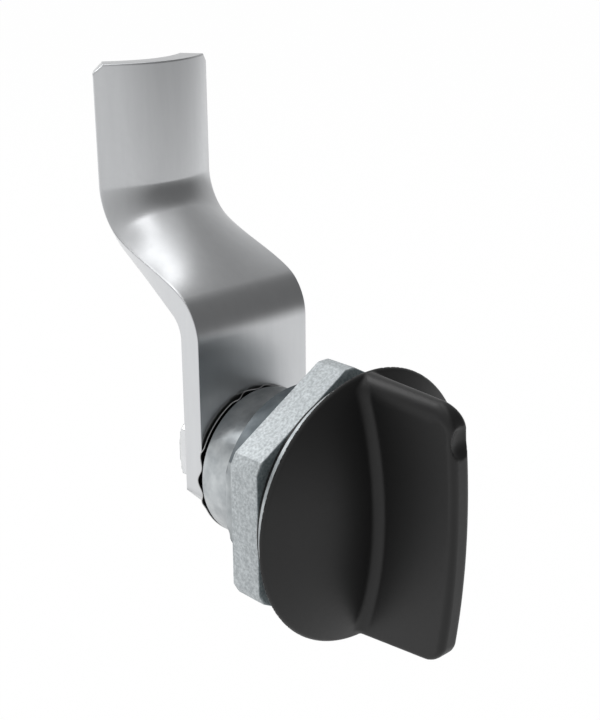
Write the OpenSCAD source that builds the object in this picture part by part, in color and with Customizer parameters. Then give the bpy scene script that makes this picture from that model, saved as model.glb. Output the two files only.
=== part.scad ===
// Quarter-turn cam latch with a black wing knob and a cranked, bowed steel cam.
// Millimetres. The latch axis is Y, the knob faces -Y, the cam points up along +Z,
// and the origin is on the axis in the flange's back face, where a panel would lie.

/* [Panel fixing] */
// Outer diameter of the threaded neck
neck_d = 22; // [20:0.5:26]
// Width across the neck's two flats
neck_af = 20; // [17:0.5:20]
// Length of the threaded neck behind the flange
neck_l = 10; // [8:0.5:12]
// Diameter of the flange
flange_d = 28.6; // [27:0.2:34]
// Thickness of the flange
flange_t = 1.5; // [1.2:0.1:3]
// Thickness of the flange gasket
gasket_t = 0.8; // [0.5:0.1:1.5]
// Width of the gasket's ring
gasket_w = 2.6; // [1.5:0.1:2.6]
// Width across the nut's flats
nut_af = 27; // [26:0.5:32]
// Diameter that the nut's corners are turned to
nut_corner_d = 30.4; // [29:0.1:37]
// Thickness of the nut
nut_t = 4.2; // [3:0.1:5]
// Chamfer on the edges of the nut's faces
nut_chamfer = 0.3; // [0.1:0.1:0.8]

/* [Barrel] */
// Distance from the flange's back face to the barrel's rear end
barrel_l = 15.5; // [15:0.5:20]
// Diameter of the smooth barrel behind the neck
pilot_d = 18; // [17.6:0.1:19]
// Diameter of the bore through the housing
bore_d = 14; // [13.6:0.1:14.4]
// Depth of the recess that the stop lug turns in
stop_recess_l = 2.9; // [2:0.1:3]
// Diameter of the stop recess
stop_recess_d = 16; // [15.4:0.1:16.4]
// Chamfer on the neck's rear edge
neck_chamfer = 0.5; // [0.2:0.1:1]

/* [Turning] */
// Turn of the cam from locked to open, degrees
turn_deg = 90; // [60:5:100]
// Width of the stop lug, degrees
lug_deg = 60; // [40:5:70]
// Spare angle at each stop, degrees
stop_spare_deg = 1; // [0.5:0.5:3]

/* [Spindle] */
// Diameter of the spindle's journal
spindle_d = 12; // [11.8:0.1:12.2]
// Width of the square that drives the cam
square_af = 8; // [7:0.5:8]
// Diameter that the square's corners are turned to
square_corner_d = 11; // [9.5:0.1:11]
// Diameter of the head that the knob is moulded over
head_d = 11; // [9.5:0.5:12]
// Thickness of that head
head_t = 0.8; // [0.5:0.1:1.2]
// Length of the square neck behind the head
head_neck_l = 1.2; // [0.8:0.1:1.6]
// Length of the front bush
front_bush_l = 5.9; // [4:0.1:6.2]
// Diameter of the front bush's collar
bush_collar_d = 17; // [15.5:0.5:20]
// Thickness of the front bush's collar
bush_collar_t = 0.6; // [0.4:0.1:1]
// Length of the rear bush
rear_bush_l = 3.4; // [2:0.1:3.6]
// Thickness of the O-ring
ring_wire = 1.6; // [1.2:0.1:1.6]
// Place of the O-ring behind the flange's back face
ring_y = 5.9; // [5.6:0.1:6.1]
// Thickness of the thrust washer
thrust_t = 0.6; // [0.4:0.1:0.8]
// Diameter of the thrust washer
thrust_d = 13.5; // [12.8:0.1:13.5]
// Thickness of the snap ring's wire
snap_wire = 1; // [0.8:0.1:1]
// Opening of the snap ring, degrees
snap_open_deg = 50; // [30:5:90]

/* [Knob] */
// Diameter of the knob's disc
disc_d = 31.2; // [29.4:0.2:38]
// Height of the disc's edge
disc_edge_h = 0.2; // [0.1:0.1:1.5]
// Rise of the domed front above the disc's edge
dome_h = 3.25; // [3:0.05:5]
// Thickness of the wing at the disc
wing_t = 3.2; // [2.8:0.1:6]
// Thickness of the wing at its front
wing_front_t = 2.6; // [2:0.1:2.8]
// Distance from the flange's back face to the wing's front
wing_reach = 15.2; // [13:0.2:20]
// Height of the wing's top above the axis, at the disc
wing_root_top = 15.5; // [13:0.1:15.6]
// Height of the wing's top above the axis, at its front
wing_front_top = 14.9; // [12.5:0.1:15]
// Depth of the wing's foot below the axis, at the disc
wing_root_low = 15.2; // [12:0.1:15.4]
// Depth of the wing's foot below the axis, at its front
wing_front_low = 13.9; // [11:0.1:15]
// Radius of the wing's upper front corner
wing_top_r = 2.5; // [1.5:0.5:5]
// Radius of the wing's lower front corner
wing_low_r = 2; // [1:0.5:5]
// Radius of the wing's crowned front
wing_front_r = 92; // [50:2:140]
// Height of the crown's middle above the axis
wing_crown_z = 1.5; // [0:0.5:5]
// Diameter of the index dimple on the wing's front
dimple_d = 3.2; // [1.5:0.1:3.4]
// Depth of the index dimple
dimple_depth = 0.6; // [0.3:0.1:0.9]
// Height of the index dimple above the axis
dimple_z = 11.5; // [6:0.1:11.7]

/* [Cam] */
// Width of the cam
cam_w = 16.5; // [15:0.5:20]
// Thickness of the cam
cam_t = 3; // [2.5:0.25:4]
// Height of the cam's tip above the axis
cam_reach = 45; // [42:1:60]
// Distance that the crank sets the tip behind the foot
cam_crank = 14; // [10:0.5:18]
// Height above the axis where the crank starts
crank_z = 15.9; // [15.8:0.1:18]
// Rise of the sloping middle above the axis direction, degrees
crank_slope_deg = 36.5; // [30:0.5:50]
// Inner radius of the two bends
bend_r = 3.25; // [2:0.25:4]
// Bow of the tip over its width
cam_bow = 3.1; // [1:0.1:3.4]
// Chamfer on the tip's corners
tip_chamfer = 1; // [0.5:0.25:2]
// Chamfer on the foot's corners
foot_chamfer = 5.85; // [3:0.25:6]
// Gap between the barrel's end and the cam
cam_gap = 0.75; // [0.6:0.05:1.2]

/* [Wave washer] */
// Outer diameter of the wave washer
wave_d = 18; // [17:0.1:18]
// Width of the wave washer's ring
wave_w = 1.8; // [1:0.1:1.8]
// Thickness of its sheet
wave_sheet_t = 0.15; // [0.1:0.05:0.2]
// Number of waves round the washer
wave_count = 18; // [12:1:24]

/* [Cam screw] */
// Thread diameter of the cam screw
screw_d = 6; // [5:0.5:6]
// Length of the screw under its head
screw_l = 10; // [8:1:11]
// Width across the flats of the screw's head
screw_af = 10; // [9:0.5:11]
// Height of the screw's head
screw_head_h = 4; // [3:0.1:4.5]
// Diameter of the spring washer
lock_d = 11.8; // [11:0.1:13]
// Thickness of the spring washer
lock_t = 1.6; // [1:0.1:2]

/* [Clearances] */
// Radial running clearance of the spindle in its bushes
run_clear = 0.05; // [0.02:0.01:0.1]
// Radial clearance of pieces that are fixed in each other
seat_clear = 0.02; // [0.01:0.01:0.04]
// Axial gap between faces that turn past each other
face_gap = 0.1; // [0.05:0.05:0.2]
// Radial gap round the stop disc in the bore
stop_clear = 0.2; // [0.1:0.05:0.3]
// Distance that an end stays back from the face it must not stand proud of
end_gap = 0.3; // [0.1:0.05:0.5]
// Gap at each side of the O-ring in its groove
groove_side_gap = 0.2; // [0.1:0.05:0.3]
// Depth of the tapped hole past the screw's tip
tap_spare = 0.5; // [0.3:0.1:1.5]

/* [Hidden] */
$fn = 96;

zinc = [0.70, 0.72, 0.72];
steel = [0.72, 0.74, 0.76];
black = [0.13, 0.13, 0.13];
acetal = [0.84, 0.82, 0.76];

// Cuts run past the faces that they open by this much
past = 1;
// Facets of the drawn mesh of small wires and of the knob's dome
wire_fn = 32;
dome_fn = 240;
// The middle of the stop lug points down, away from the cam's tip
lug_at_deg = 90;

// Places along the latch axis, from the knob to the screw
knob_back_y = -(flange_t + face_gap);
disc_edge_y = knob_back_y - disc_edge_h;
head_back_y = knob_back_y - head_neck_l;
head_front_y = head_back_y - head_t;
nut_y = gasket_t + face_gap / 2;
rear_bush_y = ring_y + ring_wire;
rear_bush_end_y = rear_bush_y + rear_bush_l;
thrust_y = rear_bush_end_y + face_gap / 2;
snap_y = thrust_y + thrust_t + snap_wire / 2 + seat_clear;
shoulder_y = snap_y + snap_wire;
stop_recess_y = barrel_l - stop_recess_l;
lug_end_y = barrel_l - end_gap;
lug_y = max(shoulder_y, stop_recess_y + face_gap);
cam_y = barrel_l + cam_gap;
cam_back_y = cam_y + cam_t;
square_end_y = cam_back_y - end_gap;
lock_end_y = cam_back_y + lock_t;
screw_tip_y = lock_end_y - screw_l;
tap_end_y = screw_tip_y - tap_spare;

bush_id = spindle_d + 2 * run_clear;
bush_od = bore_d - 2 * seat_clear;
stop_hub_d = bore_d - 2 * stop_clear;
stop_lug_d = stop_recess_d - 2 * stop_clear;
ring_mean_r = bore_d / 2 - run_clear - ring_wire / 2;
ring_groove_r = ring_mean_r - ring_wire / 2 - seat_clear;
ring_groove_w = ring_wire + 2 * groove_side_gap;
snap_mean_r = spindle_d / 2;
snap_groove_r = snap_mean_r - snap_wire / 2 - seat_clear;
snap_groove_w = snap_wire + face_gap;

// Puts a shape that stands on the XY plane along +Y, starting at a distance from the panel face
module along_y(y) {
    translate([0, y, 0]) rotate([-90, 0, 0]) children();
}

// A disc or rod along Y from y0 to y1
module rod(d, y0, y1) {
    along_y(y0) cylinder(d = d, h = y1 - y0);
}

// A square bar along Y from y0 to y1
module bar(af, y0, y1) {
    along_y(y0) translate([-af / 2, -af / 2, 0]) cube([af, af, y1 - y0]);
}

// A ring sector along Y; angles grow the way the cam opens, and 0 points along +X
module sector(d, y0, y1, from_deg, span_deg) {
    along_y(y0) rotate([0, 0, from_deg]) rotate_extrude(angle = span_deg)
        square([d / 2, y1 - y0]);
}

// A disc whose two edges are cut back at 45 degrees
module chamfered_rod(d, y0, y1, c) {
    along_y(y0) union() {
        cylinder(d1 = d - 2 * c, d2 = d, h = c);
        translate([0, 0, c]) cylinder(d = d, h = y1 - y0 - 2 * c);
        translate([0, 0, y1 - y0 - c]) cylinder(d1 = d, d2 = d - 2 * c, h = c);
    }
}

// Zinc housing: flange, threaded neck with two flats, smooth barrel with the stop recess
module housing() {
    color(zinc) difference() {
        union() {
            rod(flange_d, -flange_t, 0);
            intersection() {
                union() {
                    rod(neck_d, -past / 2, neck_l - neck_chamfer);
                    along_y(neck_l - neck_chamfer) cylinder(
                        d1 = neck_d, d2 = neck_d - 2 * neck_chamfer, h = neck_chamfer
                    );
                }
                translate([-neck_af / 2, -past / 2, -neck_d])
                    cube([neck_af, neck_l + past, 2 * neck_d]);
            }
            rod(pilot_d, neck_l - past, barrel_l);
        }
        rod(bore_d, -flange_t - past, barrel_l + past);
        rod(bush_collar_d + 2 * seat_clear, -flange_t - past, -flange_t + bush_collar_t);
        sector(
            stop_recess_d, stop_recess_y, barrel_l + past,
            lug_at_deg - lug_deg / 2 - stop_spare_deg, lug_deg + turn_deg + 2 * stop_spare_deg
        );
    }
}

// Flat rubber gasket between the flange and the panel
module flange_gasket() {
    gasket_id = neck_d + 2 * face_gap;
    color(black) difference() {
        rod(gasket_id + 2 * gasket_w, 0, gasket_t);
        rod(gasket_id, -past, gasket_t + past);
    }
}

// Hexagon nut that clamps the panel against the flange
module mounting_nut() {
    color(zinc) difference() {
        intersection() {
            along_y(nut_y) rotate([0, 0, 30])
                cylinder(d = nut_af / cos(30), h = nut_t, $fn = 6);
            chamfered_rod(nut_corner_d, nut_y, nut_y + nut_t, nut_chamfer);
        }
        rod(neck_d + 2 * run_clear, nut_y - past, nut_y + nut_t + past);
    }
}

// Collared bush that the knob's back and the spindle's front turn in
module front_bush() {
    color(acetal) difference() {
        union() {
            rod(bush_od, -flange_t, -flange_t + front_bush_l);
            rod(bush_collar_d, -flange_t, -flange_t + bush_collar_t);
        }
        rod(bush_id, -flange_t - past, front_bush_l + past);
    }
}

// Plain bush that the spindle's rear turns in
module rear_bush() {
    color(acetal) difference() {
        rod(bush_od, rear_bush_y, rear_bush_end_y);
        rod(bush_id, rear_bush_y - past, rear_bush_end_y + past);
    }
}

// Centre of the crowned front, and how far out the corners' centres lie to touch the crown
crown_centre = wing_reach - wing_front_r;
function corner_out(r, z) = crown_centre + sqrt(pow(wing_front_r - r, 2) - pow(z - wing_crown_z, 2));
function crown_deg(r, z) = asin((z - wing_crown_z) / (wing_front_r - r));
wing_top_z = wing_front_top - wing_top_r;
wing_low_z = wing_low_r - wing_front_low;

// Outline of the wing seen from its side: distance from the panel face, height
module wing_outline() {
    from = crown_deg(wing_low_r, wing_low_z);
    to = crown_deg(wing_top_r, wing_top_z);
    steps = 32;
    hull() {
        translate([corner_out(wing_top_r, wing_top_z), wing_top_z])
            circle(r = wing_top_r, $fn = wire_fn);
        translate([corner_out(wing_low_r, wing_low_z), wing_low_z])
            circle(r = wing_low_r, $fn = wire_fn);
        polygon([
            for (i = [0 : steps]) let (a = from + (to - from) * i / steps)
                [crown_centre + wing_front_r * cos(a), wing_crown_z + wing_front_r * sin(a)]
        ]);
        translate([-knob_back_y, -wing_root_low])
            square([disc_edge_h, wing_root_low + wing_root_top]);
    }
}

// Outline of the wing seen from above: across, distance from the panel face
module wing_taper() {
    polygon([
        [-wing_t / 2, -knob_back_y], [wing_t / 2, -knob_back_y],
        [wing_front_t / 2, wing_reach + past], [-wing_front_t / 2, wing_reach + past]
    ]);
}

// Black knob: domed disc, wing across it, index dimple, and the pocket for the spindle's head
module wing_knob() {
    dome_r = (pow(disc_d / 2, 2) + pow(dome_h, 2)) / (2 * dome_h);
    dimple_r = (pow(dimple_d / 2, 2) + pow(dimple_depth, 2)) / (2 * dimple_depth);
    dimple_out = crown_centre + sqrt(pow(wing_front_r, 2) - pow(dimple_z - wing_crown_z, 2));
    color(black) difference() {
        union() {
            intersection() {
                rod(disc_d, disc_edge_y - dome_h, knob_back_y);
                translate([0, disc_edge_y - dome_h + dome_r, 0]) sphere(r = dome_r, $fn = dome_fn);
            }
            intersection() {
                rotate([90, 0, -90]) linear_extrude(wing_t, center = true) wing_outline();
                rotate([180, 0, 0]) linear_extrude(2 * disc_d, center = true) wing_taper();
            }
        }
        translate([0, dimple_depth - dimple_out - dimple_r, dimple_z]) sphere(r = dimple_r);
        bar(square_af + 2 * seat_clear, head_back_y - seat_clear, knob_back_y + past);
        rod(head_d + 2 * seat_clear, head_front_y - seat_clear, head_back_y + seat_clear);
    }
}

// Steel spindle: moulded-in head, journal with two grooves, square for the cam, tapped end
module spindle() {
    color(steel) difference() {
        union() {
            rod(head_d, head_front_y, head_back_y);
            intersection() {
                bar(square_af, head_back_y - head_t / 2, knob_back_y + past);
                rod(square_corner_d, head_front_y, knob_back_y + past);
            }
            rod(spindle_d, knob_back_y, shoulder_y);
            intersection() {
                bar(square_af, shoulder_y - past, square_end_y);
                rod(square_corner_d, shoulder_y - past, square_end_y);
            }
        }
        groove(ring_groove_r, ring_y, ring_groove_w);
        groove(snap_groove_r, snap_y, snap_groove_w);
        rod(screw_d + 2 * seat_clear, tap_end_y, square_end_y + past);
    }
}

// A groove round the spindle, centred at y
module groove(bottom_r, y, w) {
    difference() {
        rod(spindle_d + past, y - w / 2, y + w / 2);
        rod(2 * bottom_r, y - w, y + w);
    }
}

// Rubber ring that seals the spindle in the housing's bore
module spindle_o_ring() {
    color(black) along_y(ring_y) rotate_extrude() translate([ring_mean_r, 0])
        circle(d = ring_wire, $fn = wire_fn);
}

// Steel washer between the rear bush and the snap ring
module thrust_washer() {
    color(steel) difference() {
        rod(thrust_d, thrust_y, thrust_y + thrust_t);
        rod(spindle_d + 2 * seat_clear, thrust_y - past, thrust_y + thrust_t + past);
    }
}

// Round-wire ring that keeps the spindle in the housing
module snap_ring() {
    color(steel) along_y(snap_y) rotate([0, 0, -90 + snap_open_deg / 2])
        rotate_extrude(angle = 360 - snap_open_deg) translate([snap_mean_r, 0])
            circle(d = snap_wire, $fn = wire_fn);
}

// Black stop disc on the square; its lug turns in the housing's recess and ends the turn
module stop_disc() {
    color(black) difference() {
        union() {
            rod(stop_hub_d, shoulder_y, cam_y);
            sector(stop_lug_d, lug_y, lug_end_y, lug_at_deg - lug_deg / 2, lug_deg);
        }
        bar(square_af + 2 * seat_clear, shoulder_y - past, cam_y + past);
    }
}

// The waves die out on four plain stretches, over this share of the way between them
wave_fade_from = 0.6;
wave_fade_to = 0.75;
steps_per_wave = 10;

// Swing of the wave washer's sheet at an angle, from -1 to 1
function wave_swing(a) =
    let (share = (abs(cos(2 * a)) - wave_fade_from) / (wave_fade_to - wave_fade_from))
        min(1, max(0, share)) * cos(wave_count * a);

// Thin spring ring whose waves press on the barrel's end and on the cam
module wave_washer() {
    front_y = barrel_l + run_clear;
    swing = (cam_y - front_y - wave_sheet_t) / 2;
    mid_y = (front_y + cam_y) / 2;
    steps = steps_per_wave * wave_count;
    outer_r = wave_d / 2;
    inner_r = outer_r - wave_w;
    section = [
        [inner_r, -wave_sheet_t / 2], [outer_r, -wave_sheet_t / 2],
        [outer_r, wave_sheet_t / 2], [inner_r, wave_sheet_t / 2]
    ];
    points = [
        for (i = [0 : steps - 1], p = section)
            let (a = 360 * i / steps, y = mid_y + p[1] + swing * wave_swing(a))
                [p[0] * cos(a), y, p[0] * sin(a)]
    ];
    faces = [
        for (i = [0 : steps - 1], k = [0 : 3], half = [0, 1])
            let (
                j = (i + 1) % steps, m = (k + 1) % 4,
                a = 4 * i + k, b = 4 * i + m, c = 4 * j + m, d = 4 * j + k
            )
                half == 0 ? [a, b, c] : [a, c, d]
    ];
    color(steel) polyhedron(points = points, faces = faces);
}

// The cam's front face along its middle, from the foot to the tip. Each station is
// [distance from the panel face, height, tilt of the face from upright, share of the bow]
crank_bend_deg = 90 - crank_slope_deg;
outer_bend_r = bend_r + cam_t;
slope_l = (cam_crank - (outer_bend_r + bend_r) * (1 - cos(crank_bend_deg))) / cos(crank_slope_deg);
low_bend = [cam_y + outer_bend_r * (1 - cos(crank_bend_deg)), crank_z + outer_bend_r * sin(crank_bend_deg)];
high_bend = low_bend + slope_l * [cos(crank_slope_deg), sin(crank_slope_deg)];
high_centre = high_bend + bend_r * [-cos(crank_bend_deg), sin(crank_bend_deg)];
plate_join_z = crank_z - past;
bend_steps = 6;
slope_steps = 8;
across_steps = 12;

// Share of the full bow along the slope, from its start to its end
function bow_share(t) = (t + t * t * (3 - 2 * t)) / 2;

stations = concat(
    [[cam_y, plate_join_z, 0, 0]],
    [
        for (i = [0 : bend_steps - 1]) let (a = crank_bend_deg * i / bend_steps)
            [cam_y + outer_bend_r * (1 - cos(a)), crank_z + outer_bend_r * sin(a), a, 0]
    ],
    [
        for (i = [0 : slope_steps]) let (t = i / slope_steps, p = low_bend + t * (high_bend - low_bend))
            [p[0], p[1], crank_bend_deg, bow_share(t)]
    ],
    [
        for (i = [1 : bend_steps]) let (a = crank_bend_deg * (1 - i / bend_steps))
            [high_centre[0] + bend_r * cos(a), high_centre[1] - bend_r * sin(a), a, 1]
    ],
    [[cam_y + cam_crank, cam_reach, 0, 1]]
);

// A point of the cam's front face, or of its back face with depth cam_t, u across from -1 to 1
function cam_point(st, u, depth) =
    let (
        drop = cam_bow * st[3] * u * u,
        lean = atan(4 * cam_bow * st[3] * u / cam_w),
        normal = [sin(lean), -cos(lean) * cos(st[2]), cos(lean) * sin(st[2])]
    )
        [
            u * cam_w / 2 - depth * normal[0],
            st[0] + drop * cos(st[2]) - depth * normal[1],
            st[1] - drop * sin(st[2]) - depth * normal[2]
        ];

// The bent part of the cam, swept along its stations
module cam_bent() {
    ring = 2 * (across_steps + 1);
    count = len(stations);
    points = [
        for (st = stations) each concat(
            [for (i = [0 : across_steps]) cam_point(st, 2 * i / across_steps - 1, 0)],
            [for (i = [across_steps : -1 : 0]) cam_point(st, 2 * i / across_steps - 1, cam_t)]
        )
    ];
    walls = [
        for (s = [0 : count - 2], k = [0 : ring - 1], half = [0, 1])
            let (
                m = (k + 1) % ring,
                a = s * ring + k, b = s * ring + m,
                c = (s + 1) * ring + m, d = (s + 1) * ring + k
            )
                half == 0 ? [a, d, c] : [a, c, b]
    ];
    ends = [
        for (e = [0, count - 1], i = [0 : across_steps - 1], half = [0, 1])
            let (
                a = e * ring + i, b = a + 1,
                d = e * ring + ring - 1 - i, c = d - 1,
                tri = half == 0 ? [a, b, c] : [a, c, d]
            )
                e == 0 ? tri : [tri[2], tri[1], tri[0]]
    ];
    polyhedron(points = points, faces = concat(walls, ends));
}

// A block that cuts a corner at 45 degrees; the corner is at the side given, at height z
module corner_cut(side, z, c) {
    translate([side * cam_w / 2, 0, z]) rotate([0, 45, 0])
        translate([-c / sqrt(2), cam_y - past, -c / sqrt(2)])
            cube([2 * c / sqrt(2), cam_t + cam_crank + cam_w, 2 * c / sqrt(2)]);
}

// Steel cam: flat foot with the square hole, cranked middle, bowed tip with cut corners
module cam() {
    color(steel) difference() {
        union() {
            translate([-cam_w / 2, cam_y, -cam_w / 2])
                cube([cam_w, cam_t, plate_join_z + cam_w / 2]);
            cam_bent();
        }
        for (side = [-1, 1]) {
            corner_cut(side, cam_reach, tip_chamfer);
            corner_cut(side, -cam_w / 2, foot_chamfer);
        }
        bar(square_af + 2 * seat_clear, cam_y - past, cam_back_y + past);
    }
}

// Split spring washer under the screw's head, drawn tightened flat
module spring_washer() {
    split_deg = 5;
    inner_r = screw_d / 2 + face_gap;
    color(steel) along_y(cam_back_y) rotate_extrude(angle = 360 - split_deg)
        translate([inner_r, 0]) square([lock_d / 2 - inner_r, lock_t]);
}

// Hexagon screw that holds the cam on the spindle
module cam_screw() {
    head_end_y = lock_end_y + screw_head_h;
    turned_d = 2 * screw_af / sqrt(3);
    crown_h = screw_head_h / 4;
    color(steel) union() {
        rod(screw_d, screw_tip_y, lock_end_y + past);
        intersection() {
            along_y(lock_end_y) rotate([0, 0, 30])
                cylinder(d = turned_d, h = screw_head_h, $fn = 6);
            union() {
                rod(turned_d + past, lock_end_y, head_end_y - crown_h);
                along_y(head_end_y - crown_h)
                    cylinder(d1 = turned_d + past, d2 = turned_d - 2 * crown_h, h = crown_h);
            }
        }
    }
}

housing();
flange_gasket();
mounting_nut();
front_bush();
rear_bush();
wing_knob();
spindle();
spindle_o_ring();
thrust_washer();
snap_ring();
stop_disc();
wave_washer();
cam();
spring_washer();
cam_screw();
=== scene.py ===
"""Quarter-turn cam latch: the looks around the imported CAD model.

Everything is in metres in the CAD model's frame: the latch axis is Y, the knob faces -Y,
and the origin lies on the axis in the flange's back face. Sizes below are millimetres
and are turned into metres where a mesh is made.
"""

import math

import bpy
import numpy as np
from mathutils import Matrix


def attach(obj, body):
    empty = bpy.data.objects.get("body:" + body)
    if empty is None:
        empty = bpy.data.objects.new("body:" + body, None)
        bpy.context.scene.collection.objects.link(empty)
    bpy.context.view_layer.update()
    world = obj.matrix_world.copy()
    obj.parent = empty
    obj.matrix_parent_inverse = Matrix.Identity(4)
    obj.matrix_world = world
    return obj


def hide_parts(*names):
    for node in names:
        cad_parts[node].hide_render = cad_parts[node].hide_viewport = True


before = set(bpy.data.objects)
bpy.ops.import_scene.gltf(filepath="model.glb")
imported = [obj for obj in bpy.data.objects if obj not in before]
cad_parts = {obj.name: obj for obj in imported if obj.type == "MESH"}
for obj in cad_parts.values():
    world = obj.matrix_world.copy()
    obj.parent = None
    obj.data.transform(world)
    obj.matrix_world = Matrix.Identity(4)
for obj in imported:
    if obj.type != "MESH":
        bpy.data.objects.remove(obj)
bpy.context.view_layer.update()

MM = 0.001

# Sizes shared by the pieces, in millimetres, as in the part's source
NECK_R = 11.0
NECK_FLAT = 10.0
NECK_L = 10.0
FLANGE_R = 14.3
FLANGE_T = 1.5
PILOT_R = 9.0
BARREL_L = 15.5
BORE_R = 7.0
NUT_FLAT = 13.5
NUT_CORNER_R = 15.2
CAM_Y = 16.25
CAM_T = 3.0
CAM_W = 16.5
LOCK_T = 1.6

# Radius of a solid's last ring on the axis, a distance that counts as none, and a term that
# keeps divisions finite
AXIS_R = 1e-4
NEAR = 0.01
TINY = 1e-6


# Meshes

def new_piece(name, points, faces, normals=None):
    """A smooth-shaded mesh object at the origin from points in millimetres and a list of faces."""
    mesh = bpy.data.meshes.new(name)
    mesh.from_pydata((points * MM).tolist(), [], faces)
    mesh.polygons.foreach_set("use_smooth", np.ones(len(mesh.polygons), bool))
    mesh.update()
    if normals is not None:
        mesh.normals_split_custom_set_from_vertices(normals.tolist())
    piece = bpy.data.objects.new(name, mesh)
    bpy.context.scene.collection.objects.link(piece)
    return piece


def ring_quads(rings, around, closed):
    """Quads between rings of points, with the last ring joined to the first where closed."""
    r, c = np.meshgrid(np.arange(rings if closed else rings - 1), np.arange(around), indexing="ij")
    r1, c1 = (r + 1) % rings, (c + 1) % around
    quads = np.stack([r * around + c, r * around + c1, r1 * around + c1, r1 * around + c], -1)
    return quads.reshape(-1, 4)


def outward(points, quads):
    """The quads as a list, turned over together if the solid that they close has a negative volume."""
    a, b, c, d = (points[quads[:, i]] for i in range(4))
    volume = np.einsum("ij,ij->i", a, np.cross(b, c)).sum() + np.einsum("ij,ij->i", a, np.cross(c, d)).sum()
    return (quads if volume > 0 else quads[:, ::-1]).tolist()


def cap(points, loop, direction):
    """The loop of point numbers, turned so that its face looks along the direction.

    The face's normal is the sum of the cross products of neighbouring points."""
    ring = points[loop]
    normal = np.cross(ring, np.roll(ring, -1, 0)).sum(0)
    return loop if normal @ direction > 0 else loop[::-1]


def capped_tube(name, points, direction):
    """A solid from rings of points that follow each other in a direction, closed by a face at each end."""
    rings, around = points.shape[:2]
    points = points.reshape(-1, 3)
    first, last = np.arange(rings * around).reshape(rings, around)[[0, -1]].tolist()
    ends = [cap(points, first, -direction), cap(points, last, direction)]
    return new_piece(name, points, outward(points, ring_quads(rings, around, False)) + ends)


def ring_points(reach, y, angles):
    """Points of rings round the latch axis, where reach is the radius of every point."""
    return np.stack([reach * np.cos(angles), np.broadcast_to(y, reach.shape), reach * np.sin(angles)], -1)


def ring_solid(name, reach, y, angles):
    """A solid whose closed section is carried round the latch axis, with a row for each of its points."""
    points = ring_points(reach, y, angles).reshape(-1, 3)
    return new_piece(name, points, outward(points, ring_quads(*reach.shape, True)))


def stack_rings(rings, angles):
    """Reach and y of rings that are given as (radius, y), the radius one number or one for each angle."""
    reach = np.stack([np.broadcast_to(radius, angles.shape) for radius, _ in rings])
    return reach, np.array([y for _, y in rings])[:, None]


def ring_angles(count, extra):
    """Even angles round the axis with some exact ones in degrees added, in radians, none twice."""
    even = np.linspace(0, 2 * np.pi, count, endpoint=False)
    return np.unique(np.round(np.concatenate([even, np.mod(np.radians(extra), 2 * np.pi)]), 6))


def rounded_profile(corners, steps=5):
    """A closed outline of (radius, y) corners, each with its own rounding radius.

    Each corner is replaced by points on the arc that touches both of its sides; the arc's
    points are blended along the circle between the two places where it touches them."""
    corners = np.asarray(corners, float)
    points = []
    for i, (x, y, r) in enumerate(corners):
        here = np.array([x, y])
        if r == 0:
            points.append(here[None])
            continue
        back = corners[i - 1, :2] - here
        ahead = corners[(i + 1) % len(corners), :2] - here
        back /= np.linalg.norm(back)
        ahead /= np.linalg.norm(ahead)
        half = math.acos(float(np.clip(back @ ahead, -1, 1))) / 2
        middle = back + ahead
        centre = here + middle / np.linalg.norm(middle) * r / math.sin(half)
        a = here - centre + back * r / math.tan(half)
        b = here - centre + ahead * r / math.tan(half)
        t = np.linspace(0, 1, steps + 1)[:, None]
        sweep = math.pi - 2 * half
        arc = (np.sin((1 - t) * sweep) * a + np.sin(t * sweep) * b) / math.sin(sweep)
        points.append(centre + arc)
    return np.concatenate(points)


# Knob: an implicit solid, because its dome, wing and fillet run into each other without an edge

# Back, front and dome_front are distances in front of the flange's back face. Root is where the
# wing meets the disc, front its far side, top and low its reach above and below the axis there.
KNOB = dict(
    disc_r=15.6, back=1.6, dome_front=5.05, dome_r=41.0, edge_r=0.34, back_edge_r=0.12,
    root_half=1.6, front_half=1.34, front=15.2, front_r=92.0, crown_z=1.5,
    root_top=15.58, front_top=14.95, root_low=15.2, front_low=13.9,
    top_corner_r=2.4, low_corner_r=2.0, wing_edge_r=0.8, foot_edge_r=0.45, fillet_r=1.12,
    crest_depth=2.2, crest_flat=0.03, rim_fillet=0.12, rim_fade=1.3,
    dimple_r=1.65, dimple_depth=0.62, dimple_z=11.55, dimple_edge_r=0.15,
)

# Lattice cells of the knob and of its rim, how far in front of its back the rim's cells reach,
# and how far the lattice reaches past the knob
KNOB_CELL = 0.22
RIM_CELL = 0.07
RIM_L = 0.65
LATTICE_MARGIN = 0.45


def round_and(a, b, r):
    """The solid inside both a and b, with the edge between them rounded to radius r."""
    return np.minimum(-r, np.maximum(a, b)) + np.hypot(np.maximum(r + a, 0), np.maximum(r + b, 0))


def round_or(a, b, r):
    """The solid inside a or b, with a fillet of radius r where they meet."""
    return np.maximum(r, np.minimum(a, b)) - np.hypot(np.maximum(r - a, 0), np.maximum(r - b, 0))


def line_side(out, z, z_root, z_front, k):
    """Distance above the straight edge that runs from z_root at the disc to z_front at the wing's front."""
    slope = (z_front - z_root) / (k["front"] - k["back"])
    return (z - z_root - slope * (out - k["back"])) / math.hypot(1, slope)


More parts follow.
